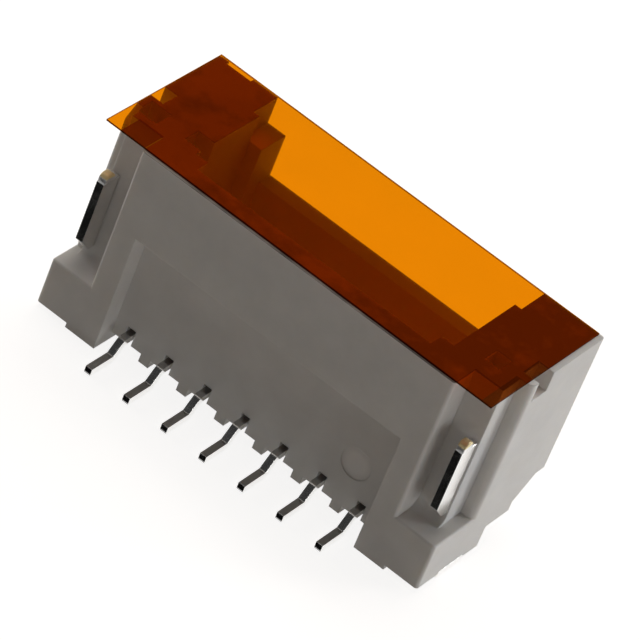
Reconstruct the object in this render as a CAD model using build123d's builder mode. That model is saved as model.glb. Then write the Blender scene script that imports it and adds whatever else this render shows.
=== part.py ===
"""Seven-contact wire-to-board header, upright on the board, for surface mounting.

Millimetres, +Z up, X along the contact row, -Y the side where the tails come out.
The origin is the middle of the footprint, on the board.
"""

import os

from build123d import *

# contact row
pitch = 1.25
contact_count = 7

# metal stock
strip_width = 0.20  # contact strip, across the row
strip_thickness = 0.20
nail_thickness = 0.22

# housing, outside
end_margin = 2.45  # last contact to the end face
housing_depth = 4.90
housing_height = 6.05
shoulder_margin = 1.20  # last contact to the edge of the raised front face
post_setback = 0.88  # raised front face to the end posts behind it
right_end_skin = 0.38  # side of the end post to the end face
left_end_skin = 0.26
right_wall_front = 1.65  # raised front face to the front of the right end wall
right_wall_round = 0.20
left_wall_front = 0.97  # the left end wall reaches further forward
left_wall_round = 0.12
lip_chamfer = 0.44  # top front corner of the left end wall
foot_top = 1.56
foot_clearance = 0.14  # underside of the feet above the board
foot_round = 0.06
root_round = 0.28  # sweep from the foot up to the post
outer_round = 0.09

# housing, front panel and legs
panel_margin = 0.50  # last contact to the leg beside it
panel_setback = 0.65
panel_top = 3.67
panel_lift = 0.25  # panel's lower edge above the board
leg_margin = 1.45  # last contact to the outer side of a leg
tab_width = 0.31  # teeth that stand on the board between the tails
tab_depth = 0.60
mark_diameter = 0.90
mark_depth = 0.03
mark_x = 3.19
mark_z = 1.62

# housing, rear corners raised off the board
rear_steps = ((2.70, 0.80), (3.73, 1.10), (4.45, 1.70))  # distance behind the front, height

# housing, inside
floor_top = 1.90
wall = 0.50  # front panel wall and back wall
rim_wall = 0.69  # front wall above the panel
inner_step_height = 4.20
mouth_margin = 0.35  # last contact to the end of the mouth
guide_back = 3.85  # rear face of the end guides
window_margin = -0.04  # last contact to the side of the back window
window_sill = 3.92
rebate_margin = 0.55  # last contact to the side of the wide part of the window
rebate_depth = 0.83

# housing, hollows in the top of the ends: X range, then distances behind the front
end_slot_depth = 0.60
right_slot = ((5.75, 7.20), (1.93, 2.60))  # out through the end face
left_slot = ((-7.20, -5.80), (1.96, 2.56))
pocket_depth = 1.90
right_pocket = ((4.85, 5.30), (1.45, 2.00))
left_pocket = ((-4.62, -3.70), (1.36, 1.93))  # out into the mouth
core_depth = 0.90
core = ((-6.02, -5.40), (1.15, 1.80))
back_relief_width = 0.80  # in the left end of the back face
back_relief_depth = 0.12
back_relief_skin = 0.30

# contact
tail_reach = 0.90  # tail end in front of the raised front face
tail_knee = 0.03  # lower bend, behind the front face
tail_rise = 0.40
tail_run = 0.30
tail_radius = 0.14
pin_setback = 2.50
pin_tip = 4.45
pin_radius = 0.22
pin_point = 0.22
channel_clearance = 0.03
pin_point_width = 0.08
barb_reach = 0.05
barb_bottom = 0.95
barb_height = 0.35

# nail
nail_skin = 0.04  # post's side to the nail
fin_reach = 0.68  # in front of the end post
fin_top = 4.27
cut_tab_front = 0.03  # where the nail was cut from its strip, behind the fin's front
cut_tab_length = 0.38
cut_tab_rise = 0.24
cut_tab_round = 0.14
fin_bottom = 1.95
fin_chamfer = 0.42
nail_back = 3.60
nail_leg_front = 0.95
nail_leg_back = 2.00
nail_bend = 0.18  # along the middle of the stock
nail_relief = 0.08

# cover film
film_length = 12.22
film_width = 4.80
film_thickness = 0.05
film_shift = (-0.08, 0.03)  # laid a little off centre
film_skew = -0.25  # degrees, and a little off square

# worked out from the sizes above
half_row = pitch * (contact_count - 1) / 2
half_length = half_row + end_margin
shoulder = half_row + shoulder_margin
right_post_face = half_length - right_end_skin
left_post_face = half_length - left_end_skin
right_nail_outer = right_post_face - nail_skin
left_nail_outer = left_post_face - nail_skin
nail_leg_width = nail_leg_back - nail_leg_front
panel_half = half_row + panel_margin
leg_outer = half_row + leg_margin
mouth_half = half_row + mouth_margin
window_half = half_row + window_margin
rebate_half = half_row + rebate_margin
front = -(housing_depth - tail_reach) / 2
back = front + housing_depth
panel_face = front + panel_setback
post_front = front + post_setback
fin_front = post_front - fin_reach
cut_front = fin_front + cut_tab_front
nail_leg_y = front + (nail_leg_front + nail_leg_back) / 2
pin_y = front + pin_setback
strip_level = strip_thickness / 2 + tail_rise
channel_top = strip_level + pin_radius  # clears the bend up into the pin
channel_width = strip_width + 2 * channel_clearance
contact_spots = [(index * pitch - half_row, 0) for index in range(contact_count)]
tab_spots = [(x + pitch / 2, 0) for x, _ in contact_spots[:-1]]
over = 1.0  # how far a cut runs past the face it opens


def cut_box(x_range, y_range, z_range):
    """A block between two corners, cut from the part being built."""
    (x0, x1), (y0, y1), (z0, z1) = x_range, y_range, z_range
    with Locations(((x0 + x1) / 2, (y0 + y1) / 2, (z0 + z1) / 2)):
        Box(x1 - x0, y1 - y0, z1 - z0, mode=Mode.SUBTRACT)


def end_span(side, near, far):
    """A stretch along X at the right end (side 1) or at the left end (side -1)."""
    return (near, far) if side == 1 else (-far, -near)


def barb_outline(x):
    """A contact's barb, seen along the row's depth, which the floor of the housing follows."""
    with BuildSketch(Plane.XZ.offset(-(pin_y + strip_thickness / 2))) as outline:
        with BuildLine():
            Polyline(
                (x + strip_width / 2 + barb_reach, barb_bottom),
                (x + strip_width / 2, barb_bottom + barb_height),
                (x - strip_width / 2, barb_bottom + barb_height),
                (x - strip_width / 2 - barb_reach, barb_bottom),
                close=True,
            )
        make_face()
    return outline.sketch


# moulded housing
with BuildPart() as housing:
    # lower body with the two feet
    with BuildSketch(Plane.XY):
        with Locations((0, front + housing_depth / 2)):
            RectangleRounded(2 * half_length, housing_depth, outer_round)
    extrude(amount=foot_top)
    fillet(housing.faces().sort_by(Axis.Z)[-1].edges(), foot_round)

    # upper body, with the end posts set back and the end walls behind them
    with BuildSketch(Plane.XY.offset(foot_top - foot_round)) as upper_outline:
        with BuildLine():
            Polyline(
                (shoulder, front),
                (shoulder, post_front),
                (right_post_face, post_front),
                (right_post_face, front + right_wall_front),
                (half_length, front + right_wall_front),
                (half_length, back),
                (-half_length, back),
                (-half_length, front + left_wall_front),
                (-left_post_face, front + left_wall_front),
                (-left_post_face, post_front),
                (-shoulder, post_front),
                (-shoulder, front),
                close=True,
            )
        make_face()
        rounds = (
            (shoulder, front, outer_round),
            (-shoulder, front, outer_round),
            (half_length, front + right_wall_front, right_wall_round),
            (-half_length, front + left_wall_front, left_wall_round),
            (half_length, back, outer_round),
            (-half_length, back, outer_round),
        )
        for x, y, radius in rounds:
            fillet(upper_outline.vertices().sort_by_distance((x, y, 0))[0], radius)
    extrude(amount=housing_height - foot_top + foot_round)

    # sweep from each foot up to its post
    for root_x in ((shoulder + right_post_face) / 2, -(shoulder + left_post_face) / 2):
        ledge = housing.edges().filter_by_position(Axis.Z, foot_top, foot_top)
        fillet(ledge.sort_by_distance((root_x, post_front, foot_top))[0], root_round)

    # chamfered top front corner of the left end wall
    with BuildSketch(Plane.YZ.offset(-left_post_face)):
        with BuildLine():
            Polyline(
                (front + left_wall_front - over, housing_height - lip_chamfer - over),
                (front + left_wall_front - over, housing_height + over),
                (front + left_wall_front + lip_chamfer + over, housing_height + over),
                close=True,
            )
        make_face()
    extrude(amount=-(left_end_skin + over), mode=Mode.SUBTRACT)

    # front recess that leaves the thin panel between the legs
    cut_box((-panel_half, panel_half), (front - over, panel_face), (-over, panel_top))

    # the panel and the body behind it clear the board, the legs stand on it
    cut_box((-panel_half, panel_half), (front - over, back + over), (-over, panel_lift))
    for side in (1, -1):
        foot_span = end_span(side, leg_outer, half_length + over)
        cut_box(foot_span, (front - over, back + over), (-over, foot_clearance))

    # rear corners of the ends, stepped up off the board
    for side in (1, -1):
        with BuildSketch(Plane.YZ.offset(side * leg_outer)):
            with BuildLine():
                first, second, third = rear_steps
                Polyline(
                    (front + first[0], -over),
                    (front + first[0], first[1]),
                    (front + second[0], first[1]),
                    (front + second[0], second[1]),
                    (front + third[0], third[1]),
                    (back + over, third[1]),
                    (back + over, -over),
                    close=True,
                )
            make_face()
        extrude(amount=side * (end_margin - leg_margin + over), mode=Mode.SUBTRACT)

    # teeth between the tails
    with BuildSketch(Plane.XY):
        with Locations(*[(x, panel_face + tab_depth / 2) for x, _ in tab_spots]):
            Rectangle(tab_width, tab_depth)
    extrude(amount=panel_lift)

    # mouth for the plug, open at the top
    cut_box(
        (-mouth_half, mouth_half),
        (panel_face + wall, front + guide_back),
        (floor_top, housing_height + over),
    )
    cut_box(
        (-window_half, window_half),
        (front + rim_wall, front + guide_back),
        (inner_step_height, housing_height + over),
    )
    cut_box(
        (-window_half, window_half),
        (front + guide_back, back - wall),
        (floor_top, housing_height + over),
    )

    # window through the back wall, wider at its top
    cut_box(
        (-window_half, window_half),
        (back - wall, back + over),
        (window_sill, housing_height + over),
    )
    cut_box(
        (-rebate_half, rebate_half),
        (front + guide_back, back + over),
        (housing_height - rebate_depth, housing_height + over),
    )

    # slots out through the end faces, pockets beside the mouth and the core
    hollows = (
        (right_slot, end_slot_depth),
        (left_slot, end_slot_depth),
        (right_pocket, pocket_depth),
        (left_pocket, pocket_depth),
        (core, core_depth),
    )
    for (x_range, (y_near, y_far)), depth in hollows:
        cut_box(
            x_range,
            (front + y_near, front + y_far),
            (housing_height - depth, housing_height + over),
        )

    # shallow relief in the back face at its left end
    cut_box(
        (back_relief_skin - half_length, back_relief_skin + back_relief_width - half_length),
        (back - back_relief_depth, back + over),
        (panel_lift, housing_height + over),
    )

    # channel under the floor and press hole through it for each contact
    for x, _ in contact_spots:
        cut_box(
            (x - channel_width / 2, x + channel_width / 2),
            (front - over, pin_y + strip_thickness / 2),
            (-over, channel_top),
        )
        cut_box(
            (x - strip_width / 2, x + strip_width / 2),
            (pin_y - strip_thickness / 2, pin_y + strip_thickness / 2),
            (strip_level, floor_top + strip_thickness),
        )
        extrude(barb_outline(x), amount=strip_thickness, mode=Mode.SUBTRACT)

    # slot for each nail, open to the back and to the board, with room for its foot
    leg_y = (front + nail_leg_front, front + nail_leg_back)
    for side, outer in ((1, right_nail_outer), (-1, left_nail_outer)):
        plate_x = end_span(side, outer - nail_thickness, outer)
        relief_x = end_span(side, outer, outer + nail_relief)
        foot_x = end_span(side, outer, half_length + over)
        cut_box(plate_x, (front + nail_leg_front, back + over), (-over, fin_top))
        cut_box(plate_x, (fin_front, front + nail_leg_front), (fin_bottom, fin_top))
        cut_box(relief_x, leg_y, (0, nail_thickness + nail_relief))
        cut_box(foot_x, leg_y, (0, nail_thickness))

    # plain round ejector mark on the panel
    with BuildSketch(Plane.XZ.offset(-panel_face)):
        with Locations((mark_x, mark_z)):
            Circle(mark_diameter / 2)
    extrude(amount=-mark_depth, mode=Mode.SUBTRACT)

# contact: flat tail on the board, double bend, run under the floor and pin
with BuildPart() as contact:
    with BuildLine(Plane.YZ) as contact_path:
        FilletPolyline(
            (front - tail_reach, strip_thickness / 2),
            (front + tail_knee, strip_thickness / 2),
            (front + tail_knee + tail_run, strip_level),
            (pin_y, strip_level),
            (pin_y, pin_tip - pin_point),
            radius=[tail_radius, tail_radius, pin_radius],
        )
    with BuildSketch(Plane.XZ.offset(-(front - tail_reach))):
        with Locations((0, strip_thickness / 2)):
            Rectangle(strip_width, strip_thickness)
    sweep(path=contact_path.line)
    with BuildSketch(Plane.XY.offset(pin_tip - pin_point)):
        with Locations((0, pin_y)):
            Rectangle(strip_width, strip_thickness)
    with BuildSketch(Plane.XY.offset(pin_tip)):
        with Locations((0, pin_y)):
            Rectangle(pin_point_width, pin_point_width)
    loft()
    extrude(barb_outline(0), amount=strip_thickness)



def end_nail(outer):
    """Nail of the right end: plate with a fin in front of the post, a leg and a solder foot."""
    inner = outer - nail_thickness
    middle = (inner + outer) / 2
    with BuildPart() as nail:
        with BuildSketch(Plane.YZ.offset(inner)) as plate:
            with BuildLine():
                Polyline(
                    (fin_front, fin_top),
                    (cut_front, fin_top),
                    (cut_front, fin_top + cut_tab_rise),
                    (cut_front + cut_tab_length, fin_top + cut_tab_rise),
                    (cut_front + cut_tab_length, fin_top),
                    (front + nail_back, fin_top),
                    (front + nail_back, fin_bottom),
                    (front + nail_leg_front, fin_bottom),
                    (fin_front + fin_chamfer, fin_bottom),
                    (fin_front, fin_bottom + fin_chamfer),
                    close=True,
                )
            make_face()
            for y in (cut_front, cut_front + cut_tab_length):
                corner = plate.vertices().sort_by_distance((y, fin_top + cut_tab_rise, 0))[0]
                fillet(corner, cut_tab_round)
        extrude(amount=nail_thickness)
        with BuildLine(Plane.XZ.offset(-nail_leg_y)) as leg_path:
            FilletPolyline(
                (middle, fin_bottom),
                (middle, nail_thickness / 2),
                (half_length, nail_thickness / 2),
                radius=nail_bend,
            )
        with BuildSketch(Plane.XY.offset(fin_bottom)):
            with Locations((middle, nail_leg_y)):
                Rectangle(nail_thickness, nail_leg_width)
        sweep(path=leg_path.line)
    return nail.part


# cover film over the mouth
with BuildPart() as film:
    with BuildSketch(Plane.XY.offset(housing_height)):
        with Locations((film_shift[0], front + housing_depth / 2 + film_shift[1])):
            Rectangle(film_length, film_width, rotation=film_skew)
    extrude(amount=film_thickness)

pieces = {
    "housing": housing.part,
    "nail_right": end_nail(right_nail_outer),
    "nail_left": mirror(end_nail(left_nail_outer), about=Plane.YZ),
    "cover_film": film.part,
}
for number, (x, _) in enumerate(contact_spots, start=1):
    pieces[f"contact_{number}"] = contact.part.moved(Location((x, 0, 0)))

os.makedirs("parts", exist_ok=True)
for name, piece in pieces.items():
    piece.label = name
    export_step(piece, f"parts/{name}.step")
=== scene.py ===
import bpy
from mathutils import Matrix, Vector

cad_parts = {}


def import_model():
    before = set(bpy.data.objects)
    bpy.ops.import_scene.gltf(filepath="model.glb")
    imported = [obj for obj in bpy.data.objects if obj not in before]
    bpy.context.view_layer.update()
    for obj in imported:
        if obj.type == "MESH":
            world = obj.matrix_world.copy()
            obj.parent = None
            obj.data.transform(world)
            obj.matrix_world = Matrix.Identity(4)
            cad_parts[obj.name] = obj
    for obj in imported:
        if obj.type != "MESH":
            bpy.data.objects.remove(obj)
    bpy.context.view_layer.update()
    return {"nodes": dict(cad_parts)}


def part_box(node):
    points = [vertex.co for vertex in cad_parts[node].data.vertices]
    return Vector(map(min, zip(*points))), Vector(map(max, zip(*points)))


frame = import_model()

MM = 0.001
WHITE = (1, 1, 1)

# the photograph's camera, fitted in the part's frame, with its turn as a rotation vector
PHOTO_SIDE = 640  # pixels
FOCAL_LENGTH = 5529.2  # pixels
SENSOR = 36.0  # millimetres
CAMERA_PLACE = (41.79 * MM, -100.18 * MM, 85.80 * MM)
CAMERA_TURN = (2.04924228, 0.853978138, 0.00218932915)
NEAREST_SEEN = 5 * MM
FARTHEST_SEEN = 20  # metres

# housing
HOUSING_COLOUR = (0.790, 0.770, 0.745)
HOUSING_SHADES = (0.95, 1.02)  # darkest and lightest mottling, as shares of the colour
HOUSING_EDGE = 0.045 * MM  # softening of the edges
HOUSING_GRAIN = 0.006 * MM  # depth of the fine relief
HOUSING_SCATTER = 0.4 * MM  # how deep light spreads in the plastic

# painted shade where the film lies on the housing, partly the adhesive's wetting
WETTED_SHADE_DARK = (0.15, 0.13, 0.11)
WETTED_SHADE_LIGHT = (0.38, 0.33, 0.28)
SHADE_LIGHTER_LEFT = 0.03 / MM  # lightening of the painted shade towards the left end
BARE_STRIP = 0.03 * MM  # along the film's right and rear edges, which the painted shade leaves out
FACE_SLACK = 0.01 * MM  # for telling which points lie in the film's plane

# ejector mark: a lighter patch on the front panel, painted sheen of the pin's polish, which fades
# out at its rim
MARK_PLACE = (3.19 * MM, 1.62 * MM)  # along X and along Z
MARK_RADIUS = 0.45 * MM
MARK_FADE_START = 0.6 * MARK_RADIUS
MARK_FADE_END = 1.1 * MARK_RADIUS
MARK_SHARE = 0.8  # of the lighter colour at its middle
MARK_SHEEN = 1.2  # times the housing's colour, a painted sheen
MARK_BACK = -1.25 * MM  # just behind the panel's face

# plated strip
TIN_COLOUR = (0.93, 0.922, 0.905)
SHADED_ROLLED_COLOUR = (0.53, 0.527, 0.522)  # rolled faces of the contacts, darker: painted shade for the dim surroundings their flats mirror
TIN_SHADES = (0.9, 1.0)  # cloudy patches, as shares of the colour
STRIP_EDGE = 0.025 * MM  # softening of the edges
STRIP_GRAIN = 0.004 * MM  # depth of the rolling lines
NAIL_STRETCH = (0.15, 1, 1)  # draws the rolling lines out along the row
CONTACT_STRETCH = (1, 0.2, 0.2)  # and here along the strip

# tops of the nails, where they were cut from their strip: bare brass, whose bright gold is partly
# a painted highlight
BRASS_HIGHLIGHT_COLOUR = (0.97, 0.81, 0.43)
BRASS_HEIGHT = 0.11 * MM
BRASS_RAGGED = 0.10 * MM  # unevenness of its lower edge
CUT_HEIGHT = 0.14 * MM  # below the brass, tin that is rounded over with it
CUT_ROUND = 0.09 * MM  # more softening of the edges there
CUT_ROUGHNESS = 0.4
CUT_DULLNESS = 0.8  # share of the metal's shine that the brass lacks

# film: how much of each colour it lets through
FILM_PASS = (0.830, 0.250, 0.0008)
FILM_SHADES = (0.985, 1.01)
FILM_POST_SHADOW = (0.52, 0.060, 0.0005)  # painted shadow of the film, where it stands free in front of the end posts
FILM_CORNER_SHADOW = (0.25, 0.065, 0.01)  # painted shadow of the film, where it stands free beside the right end post
FILM_RIM = (0.10, 0.015, 0.001)  # through its cut edges, on the way in
FILM_FAR_RIM = (0.40, 0.38, 0.08)  # and on the way out
FILM_HAZE = (0.90, 0.12, 0.0005)  # what its upper face scatters
FILM_HAZE_SHARE = 0.1
FILM_GLOSS = (0.12, 0.12, 0.12)  # what it mirrors

# edges of what the film stands free of, where its tint holds painted shadow
SHOULDER = 4.95 * MM  # side of the raised front face
POST_SIDE = 5.72 * MM  # near the outer sides of the end posts
POST_FRONT = -1.12 * MM
FREE_AT_RIGHT = (
    (-2.00 * MM, -0.41 * MM),  # in front of the end wall
    (-0.13 * MM, 0.56 * MM),  # over the slot in it
)

# floor and room
FLOOR_RANGE = (-3000, 3000)  # millimetres, along X and along Y
FLOOR_LEVEL = (-0.001, -0.001)  # millimetres, just below the feet
PAPER_COLOUR = (0.47, 0.44, 0.405)
PAPER_GLOW = 0.84  # for rays that show the background
BOUNCE_COLOUR = (1.0, 0.94, 0.87)  # for the others
BOUNCE_GLOW = 0.08
HORIZON_COLOUR = (0.8, 0.8, 0.8)
HORIZON_GLOW = 1.0  # for rays that show the background
ROOM_COLOUR = (1.0, 0.945, 0.885)  # for the others
ROOM_GLOW = 0.065

BEHIND = (2.91, 2.91)  # millimetres, just behind the back face

# ranges along X, Y and Z in millimetres, grey, and the kind of ray that meets the card
CARDS = {
    "front_card": ((-60, 40), (-80, -2.93), (0.01, 0.01), 0.004, "glossy"),
    "ceiling_card": ((-1600, 1600), (-1600, 1600), (500, 500), 0.06, "glossy"),
    "flag_low": ((-3.71, 3.71), BEHIND, (3.92, 5.22), 0, "shadow"),
    "flag_high": ((-4.30, 4.30), BEHIND, (5.22, 6.05), 0, "shadow"),
    "flag_above": ((-3.90, 0.90), BEHIND, (6.05, 7.60), 0, "shadow"),
}

# place, width and height in millimetres, power in watts, and colour
LAMPS = {
    "side_light": ((170, 185, 50), 80, 80, 0.245, (0.97, 0.985, 1.0)),
    "side_fill": ((220, -25, 4.2), 160, 8, 0.065, WHITE),
    "top_light": ((-60, 30, 225), 160, 160, 0.09, (1.0, 0.95, 0.89)),
    "left_fill": ((-220, 40, 60), 120, 120, 0.14, WHITE),
    "back_light": ((-10, 120, 220), 120, 120, 0.11, WHITE),
}
LAMP_AIM = (0, 0, 3)  # millimetres

# shared by the shaders
HALFWAY = 0.5
NOISE_LOW = 0.3  # most of a noise texture lies between these two
NOISE_HIGH = 0.7
EDGE_SAMPLES = 6  # of the normals round a softened edge


def node(tree, kind, **properties):
    """A new shader node, with its properties set by name."""
    made = tree.nodes.new(kind)
    for name, given in properties.items():
        setattr(made, name, given)
    return made


def value(made, **sockets):
    """Sets input sockets of a node and returns it. An underscore stands for a space."""
    for name, given in sockets.items():
        made.inputs[name.replace("_", " ")].default_value = given
    return made


def new_material(name):
    """A material with an empty tree."""
    made = bpy.data.materials.new(name)
    made.use_nodes = True
    made.node_tree.nodes.clear()
    return made, made.node_tree


def show(tree, shader, output="ShaderNodeOutputMaterial"):
    """Makes a shader the one that the tree gives out."""
    tree.links.new(shader, node(tree, output).inputs["Surface"])


def split(tree, vector):
    """The X, Y and Z of a vector, by name."""
    parts = node(tree, "ShaderNodeSeparateXYZ")
    tree.links.new(vector, parts.inputs["Vector"])
    return parts.outputs


def scaled(numbers, by):
    """A colour or a place times a number."""
    return tuple(number * by for number in numbers)


def math_node(tree, operation, first, second=0):
    """A sum, product, test or the like of sockets or numbers."""
    made = node(tree, "ShaderNodeMath", operation=operation)
    for socket, given in zip(made.inputs, (first, second)):
        if isinstance(given, (int, float)):
            socket.default_value = given
        else:
            tree.links.new(given, socket)
    return made.outputs[0]


def product(tree, first, *others):
    """The product of sockets or numbers. Of tests, it is 1 where all of them hold."""
    result = first
    for other in others:
        result = math_node(tree, "MULTIPLY", result, other)
    return result


def above(tree, factor, level):
    """1 where a factor is greater than a level, and 0 elsewhere."""
    return math_node(tree, "GREATER_THAN", factor, level)


def below(tree, factor, level):
    """1 where a factor is less than a level, and 0 elsewhere."""
    return math_node(tree, "LESS_THAN", factor, level)


def mixed(tree, factor, first, second):
    """A colour from first to second, each a socket or three numbers."""
    # this node has sockets for each type of data, and these are the ones for colours
    made = node(tree, "ShaderNodeMix", data_type="RGBA")
    factor_in, first_in, second_in = made.inputs[0], made.inputs[6], made.inputs[7]
    tree.links.new(factor, factor_in)
    for socket, given in ((first_in, first), (second_in, second)):
        if isinstance(given, tuple):
            socket.default_value = (*given, 1)
        else:
            tree.links.new(given, socket)
    return made.outputs[2]


def noise(tree, place, scale, detail=3.0, roughness=0.55, stretch=(1, 1, 1)):
    """A noise texture's factor, in the part's frame, so that it stays put on the piece."""
    mapping = value(node(tree, "ShaderNodeMapping"), Scale=stretch)
    tree.links.new(place, mapping.inputs["Vector"])
    texture = value(
        node(tree, "ShaderNodeTexNoise"), Scale=scale, Detail=detail, Roughness=roughness
    )
    tree.links.new(mapping.outputs["Vector"], texture.inputs["Vector"])
    return texture.outputs["Fac"]


def ramp(tree, factor, dark, light, start=NOISE_LOW, end=NOISE_HIGH):
    """A colour that goes from dark to light while a factor goes from start to end."""
    made = node(tree, "ShaderNodeValToRGB")
    made.color_ramp.elements[0].position = start
    made.color_ramp.elements[1].position = end
    made.color_ramp.elements[0].color = (*dark, 1)
    made.color_ramp.elements[1].color = (*light, 1)
    tree.links.new(factor, made.inputs["Fac"])
    return made.outputs["Color"]


def spread(tree, factor, low, high, start=NOISE_LOW, end=NOISE_HIGH):
    """A number that goes from low to high while a factor goes from start to end."""
    made = value(
        node(tree, "ShaderNodeMapRange"), From_Min=start, From_Max=end, To_Min=low, To_Max=high
    )
    tree.links.new(factor, made.inputs["Value"])
    return made.outputs["Result"]


def soft_edges(tree, radius):
    """A node that gives a normal softened at the edges."""
    return value(node(tree, "ShaderNodeBevel", samples=EDGE_SAMPLES), Radius=radius)


def bump(tree, height, strength, depth, edges):
    """A fine relief laid over softened edges."""
    made = value(node(tree, "ShaderNodeBump"), Strength=strength, Distance=depth)
    tree.links.new(height, made.inputs["Height"])
    tree.links.new(edges.outputs["Normal"], made.inputs["Normal"])
    return made.outputs["Normal"]


def ejector_mark(tree, at):
    """A soft round patch on the front panel, painted sheen where the ejector pin polished it."""
    squares = []
    for axis, middle in zip("XZ", MARK_PLACE):
        off = math_node(tree, "SUBTRACT", at[axis], middle)
        squares.append(product(tree, off, off))
    distance = math_node(tree, "SQRT", math_node(tree, "ADD", *squares))
    patch = spread(tree, distance, MARK_SHARE, 0.0, start=MARK_FADE_START, end=MARK_FADE_END)
    return product(tree, patch, below(tree, at["Y"], MARK_BACK))


def plastic_material(film_low, film_high):
    """Off-white moulded plastic: matte skin, faint flow mottling and softened edges.

    It is darker where the film lies on it, up to the film's right and rear edges: painted
    shade, partly the adhesive's wetting, that grows lighter towards the left end. The
    ejector mark's lighter patch is a painted sheen.
    """
    made, tree = new_material("moulded_plastic")
    place = node(tree, "ShaderNodeTexCoord").outputs["Object"]
    at = split(tree, place)
    shader = value(
        node(tree, "ShaderNodeBsdfPrincipled"),
        IOR=1.5,
        Specular_IOR_Level=0.35,
        Subsurface_Weight=0.3,
        Subsurface_Scale=HOUSING_SCATTER,
        Subsurface_Radius=(1.0, 0.8, 0.6),
    )

    mottle = noise(tree, place, scale=900, detail=4.0, roughness=0.6)
    dark, light = (scaled(HOUSING_COLOUR, share) for share in HOUSING_SHADES)
    skin = ramp(tree, mottle, dark, light, start=0.35, end=0.68)
    # the ejector mark's lighter colour is painted sheen
    skin = mixed(tree, ejector_mark(tree, at), skin, scaled(HOUSING_COLOUR, MARK_SHEEN))

    # painted shade under the film, partly the adhesive's wetting, lighter towards the left end
    to_left = product(tree, at["X"], -SHADE_LIGHTER_LEFT)
    shade_lightness = math_node(tree, "ADD", noise(tree, place, scale=1100), to_left)
    patches = ramp(tree, shade_lightness, WETTED_SHADE_DARK, WETTED_SHADE_LIGHT, start=0.35, end=0.65)
    under_film = product(
        tree,
        above(tree, at["Z"], film_low.z - FACE_SLACK),
        below(tree, at["X"], film_high.x - BARE_STRIP),
        below(tree, at["Y"], film_high.y - BARE_STRIP),
    )
    tree.links.new(mixed(tree, under_film, skin, patches), shader.inputs["Base Color"])

    roughness = spread(tree, noise(tree, place, scale=3000), low=0.48, high=0.62)
    tree.links.new(roughness, shader.inputs["Roughness"])
    grain = noise(tree, place, scale=16000, detail=2.0, roughness=0.5)
    edges = soft_edges(tree, HOUSING_EDGE)
    relief = bump(tree, grain, strength=0.35, depth=HOUSING_GRAIN, edges=edges)
    tree.links.new(relief, shader.inputs["Normal"])
    show(tree, shader.outputs["BSDF"])
    return made


def tin_material(name, colour, grain_stretch, cut_level=None, sheared_colour=None):
    """Tin plating over rolled strip, with faint rolling lines and cloudy patches.

    The faces across the row take sheared_colour where it is given, and the others colour,
    which for the contacts is a darker copy of the tin: painted shade for the dim
    surroundings that their flats mirror. Above cut_level, where a nail was cut from its
    strip, the bare brass shows, torn round and too rough to shine as a metal does, in a
    bright gold that is partly a painted highlight.
    """
    made, tree = new_material(name)
    place = node(tree, "ShaderNodeTexCoord").outputs["Object"]
    shader = value(node(tree, "ShaderNodeBsdfPrincipled"), Metallic=1.0)
    cloud = noise(tree, place, scale=2600)
    dark, light = (scaled(colour, share) for share in TIN_SHADES)
    tin = ramp(tree, cloud, dark, light)
    roughness = spread(tree, cloud, low=0.14, high=0.26)
    edges = soft_edges(tree, STRIP_EDGE)

    # the faces along the strip keep colour, on the contacts a darker copy of the tin as painted
    # shade
    if sheared_colour is not None:
        normal = node(tree, "ShaderNodeNewGeometry").outputs["True Normal"]
        across = math_node(tree, "ABSOLUTE", split(tree, normal)["X"])
        tin = mixed(tree, above(tree, across, HALFWAY), tin, sheared_colour)

    if cut_level is not None:
        height = split(tree, place)["Z"]
        ragged = product(tree, math_node(tree, "SUBTRACT", cloud, HALFWAY), BRASS_RAGGED)
        torn = above(tree, math_node(tree, "ADD", height, ragged), cut_level)
        # bright matte brass at the cut, partly a painted highlight
        tin = mixed(tree, torn, tin, BRASS_HIGHLIGHT_COLOUR)
        shine = math_node(tree, "SUBTRACT", 1.0, product(tree, torn, CUT_DULLNESS))
        tree.links.new(shine, shader.inputs["Metallic"])
        near_cut = above(tree, height, cut_level - CUT_HEIGHT)
        rough_cut = product(tree, near_cut, CUT_ROUGHNESS)
        roughness = math_node(tree, "MAXIMUM", roughness, rough_cut)
        radius = math_node(tree, "ADD", product(tree, near_cut, CUT_ROUND), STRIP_EDGE)
        tree.links.new(radius, edges.inputs["Radius"])

    tree.links.new(tin, shader.inputs["Base Color"])
    tree.links.new(roughness, shader.inputs["Roughness"])
    lines = noise(tree, place, scale=4000, roughness=0.6, stretch=grain_stretch)
    relief = bump(tree, lines, strength=0.25, depth=STRIP_GRAIN, edges=edges)
    tree.links.new(relief, shader.inputs["Normal"])
    show(tree, shader.outputs["BSDF"])
    return made


def film_tint(tree, place):
    """What the film's upper face lets through, deeper where it stands free: painted shadow."""
    dark, light = (scaled(FILM_PASS, share) for share in FILM_SHADES)
    tint = ramp(tree, noise(tree, place, scale=700), dark, light)
    at = split(tree, place)
    along = math_node(tree, "ABSOLUTE", at["X"])
    # painted shadow of the film on the post fronts below it
    shadow_by_posts = product(
        tree,
        below(tree, at["Y"], POST_FRONT),
        above(tree, along, SHOULDER),
        below(tree, along, POST_SIDE),
    )
    tint = mixed(tree, shadow_by_posts, tint, FILM_POST_SHADOW)
    beyond_post = above(tree, at["X"], POST_SIDE)
    # and painted shadow where it stands free beside the right end post
    for front, back in FREE_AT_RIGHT:
        between = product(tree, above(tree, at["Y"], front), below(tree, at["Y"], back))
        tint = mixed(tree, product(tree, beyond_post, between), tint, FILM_CORNER_SHADOW)
    return tint


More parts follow.
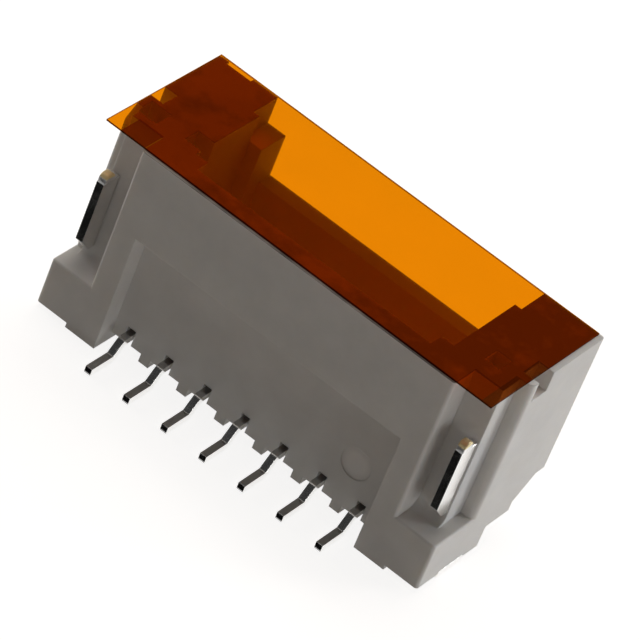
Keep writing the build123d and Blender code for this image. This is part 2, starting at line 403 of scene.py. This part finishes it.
def film_material():
    """Amber film: its upper face tints what passes, its cut edges are dark, and it has a gloss."""
    made, tree = new_material("amber_film")
    links = tree.links
    tint = film_tint(tree, node(tree, "ShaderNodeTexCoord").outputs["Object"])

    # the node's normal is turned towards the ray, so here it is turned outwards again
    geometry = node(tree, "ShaderNodeNewGeometry")
    leaving = geometry.outputs["Backfacing"]
    entering = math_node(tree, "SUBTRACT", 1.0, leaving)
    turn = math_node(tree, "SUBTRACT", entering, leaving)
    up = product(tree, split(tree, geometry.outputs["True Normal"])["Z"], turn)
    on_top = above(tree, up, HALFWAY)
    level = above(tree, math_node(tree, "ABSOLUTE", up), HALFWAY)
    at_rim = math_node(tree, "SUBTRACT", 1.0, level)

    rim = mixed(tree, at_rim, WHITE, mixed(tree, entering, FILM_FAR_RIM, FILM_RIM))
    clear = node(tree, "ShaderNodeBsdfTransparent")
    links.new(mixed(tree, on_top, rim, tint), clear.inputs["Color"])
    haze = value(node(tree, "ShaderNodeBsdfDiffuse"), Color=(*FILM_HAZE, 1))
    body = node(tree, "ShaderNodeMixShader")
    links.new(product(tree, on_top, FILM_HAZE_SHARE), body.inputs["Fac"])
    links.new(clear.outputs["BSDF"], body.inputs[1])
    links.new(haze.outputs["BSDF"], body.inputs[2])

    gloss = value(node(tree, "ShaderNodeBsdfGlossy"), Roughness=0.06, Color=(*FILM_GLOSS, 1))
    fresnel = value(node(tree, "ShaderNodeFresnel"), IOR=1.4)
    both = node(tree, "ShaderNodeMixShader")
    links.new(product(tree, fresnel.outputs["Fac"], entering), both.inputs["Fac"])
    links.new(body.outputs["Shader"], both.inputs[1])
    links.new(gloss.outputs["BSDF"], both.inputs[2])
    show(tree, both.outputs["Shader"])
    return made


def dress(names, material):
    """Puts a material in every slot of these CAD nodes."""
    for name in names:
        mesh = frame["nodes"][name].data
        if not mesh.materials:
            mesh.materials.append(material)
        for index in range(len(mesh.materials)):
            mesh.materials[index] = material


def placed(name, data):
    """A new object in the scene, at the origin."""
    made = bpy.data.objects.new(name, data)
    bpy.context.scene.collection.objects.link(made)
    return made


def stage_sheet(name, x_range, y_range, z_range, material):
    """A flat rectangle of the stage, level or upright along the row, from millimetres."""
    (left, right), (front, back), (low, high) = x_range, y_range, z_range
    corners = ((left, front, low), (right, front, low), (right, back, high), (left, back, high))
    mesh = bpy.data.meshes.new(name)
    mesh.from_pydata([scaled(corner, MM) for corner in corners], [], [(0, 1, 2, 3)])
    mesh.materials.append(material)
    made = placed(name, mesh)
    return made


def background_share(tree):
    """1 for rays that show the background: the camera's, and those through glass or off metal."""
    rays = node(tree, "ShaderNodeLightPath")
    share = rays.outputs["Is Camera Ray"]
    for name in ("Is Glossy Ray", "Is Transmission Ray"):
        share = math_node(tree, "MAXIMUM", share, rays.outputs[name])
    return share


def shared_glow(tree, kind, background, others):
    """A glow for rays that show the background and one for the others, as (strength, colour)."""
    share = node(tree, "ShaderNodeMixShader")
    tree.links.new(background_share(tree), share.inputs["Fac"])
    for socket, (strength, colour) in ((share.inputs[1], others), (share.inputs[2], background)):
        glow = value(node(tree, kind), Strength=strength, Color=(*colour, 1))
        tree.links.new(glow.outputs[0], socket)
    return share.outputs["Shader"]


def floor():
    """White floor, which lights the object as a plain pale surface and keeps a faint shadow."""
    made, tree = new_material("floor")
    paper = value(node(tree, "ShaderNodeBsdfDiffuse"), Color=(*PAPER_COLOUR, 1))
    seen, bounced = (PAPER_GLOW, WHITE), (BOUNCE_GLOW, BOUNCE_COLOUR)
    both = node(tree, "ShaderNodeAddShader")
    tree.links.new(paper.outputs["BSDF"], both.inputs[0])
    tree.links.new(shared_glow(tree, "ShaderNodeEmission", seen, bounced), both.inputs[1])
    show(tree, both.outputs["Shader"])
    stage_sheet("floor", FLOOR_RANGE, FLOOR_RANGE, FLOOR_LEVEL, made)


def world():
    """Even, slightly warm room light, with a pale horizon beyond the floor."""
    made = bpy.data.worlds.new("room")
    bpy.context.scene.world = made
    made.use_nodes = True
    tree = made.node_tree
    tree.nodes.clear()
    seen, lighting = (HORIZON_GLOW, HORIZON_COLOUR), (ROOM_GLOW, ROOM_COLOUR)
    show(tree, shared_glow(tree, "ShaderNodeBackground", seen, lighting), "ShaderNodeOutputWorld")


def card(name, x_range, y_range, z_range, grey, met_by):
    """A card of the stage, of one grey, which only one kind of ray meets. It is no lamp."""
    made, tree = new_material(name)
    made.cycles.emission_sampling = "NONE"
    glow = value(node(tree, "ShaderNodeEmission"), Strength=grey)
    show(tree, glow.outputs["Emission"])
    sheet = stage_sheet(name, x_range, y_range, z_range, made)
    for kind in ("camera", "diffuse", "glossy", "transmission", "shadow"):
        setattr(sheet, f"visible_{kind}", kind == met_by)


def cards():
    """Cards that shiny surfaces mirror, low in front and high above, and three flags.

    The flags keep the side light out of the back window and the left end of the mouth.
    """
    for name, settings in CARDS.items():
        card(name, *settings)


def lamps():
    """Five soft lamps. The side fill is a low strip, so that it doesn't shine in from above."""
    for name, (place, width, height, power, colour) in LAMPS.items():
        data = bpy.data.lights.new(name, "AREA")
        data.shape = "RECTANGLE"
        data.size = width * MM
        data.size_y = height * MM
        data.energy = power
        data.color = colour
        lamp = placed(name, data)
        lamp.location = scaled(place, MM)
        aim = Vector(scaled(LAMP_AIM, MM)) - Vector(scaled(place, MM))
        lamp.rotation_euler = aim.to_track_quat("-Z", "Y").to_euler()


def camera():
    """The photograph's camera. The fitted one looks along its +Z with its Y axis down."""
    turn = Vector(CAMERA_TURN)
    to_camera = Matrix.Rotation(turn.length, 3, turn.normalized())
    flip = Matrix.Diagonal((1, -1, -1))
    data = bpy.data.cameras.new("camera")
    data.sensor_width = SENSOR
    data.lens = FOCAL_LENGTH / PHOTO_SIDE * SENSOR
    data.clip_start = NEAREST_SEEN
    data.clip_end = FARTHEST_SEEN
    made = placed("camera", data)
    made.matrix_world = Matrix.Translation(CAMERA_PLACE) @ (to_camera.transposed() @ flip).to_4x4()
    bpy.context.scene.camera = made


camera()
world()
floor()
cards()
lamps()

nails = ["nail_right", "nail_left"]
nail_top = max(corner.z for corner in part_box("nail_right"))
contacts = [name for name in frame["nodes"] if name.startswith("contact_")]
nail_tin = tin_material("tin_nail", TIN_COLOUR, NAIL_STRETCH, cut_level=nail_top - BRASS_HEIGHT)
contact_tin = tin_material(
    "tin_contact", SHADED_ROLLED_COLOUR, CONTACT_STRETCH, sheared_colour=TIN_COLOUR
)
dress(["housing"], plastic_material(*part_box("cover_film")))
dress(nails, nail_tin)
dress(contacts, contact_tin)
dress(["cover_film"], film_material())

bpy.context.scene.view_settings.view_transform = "Standard"
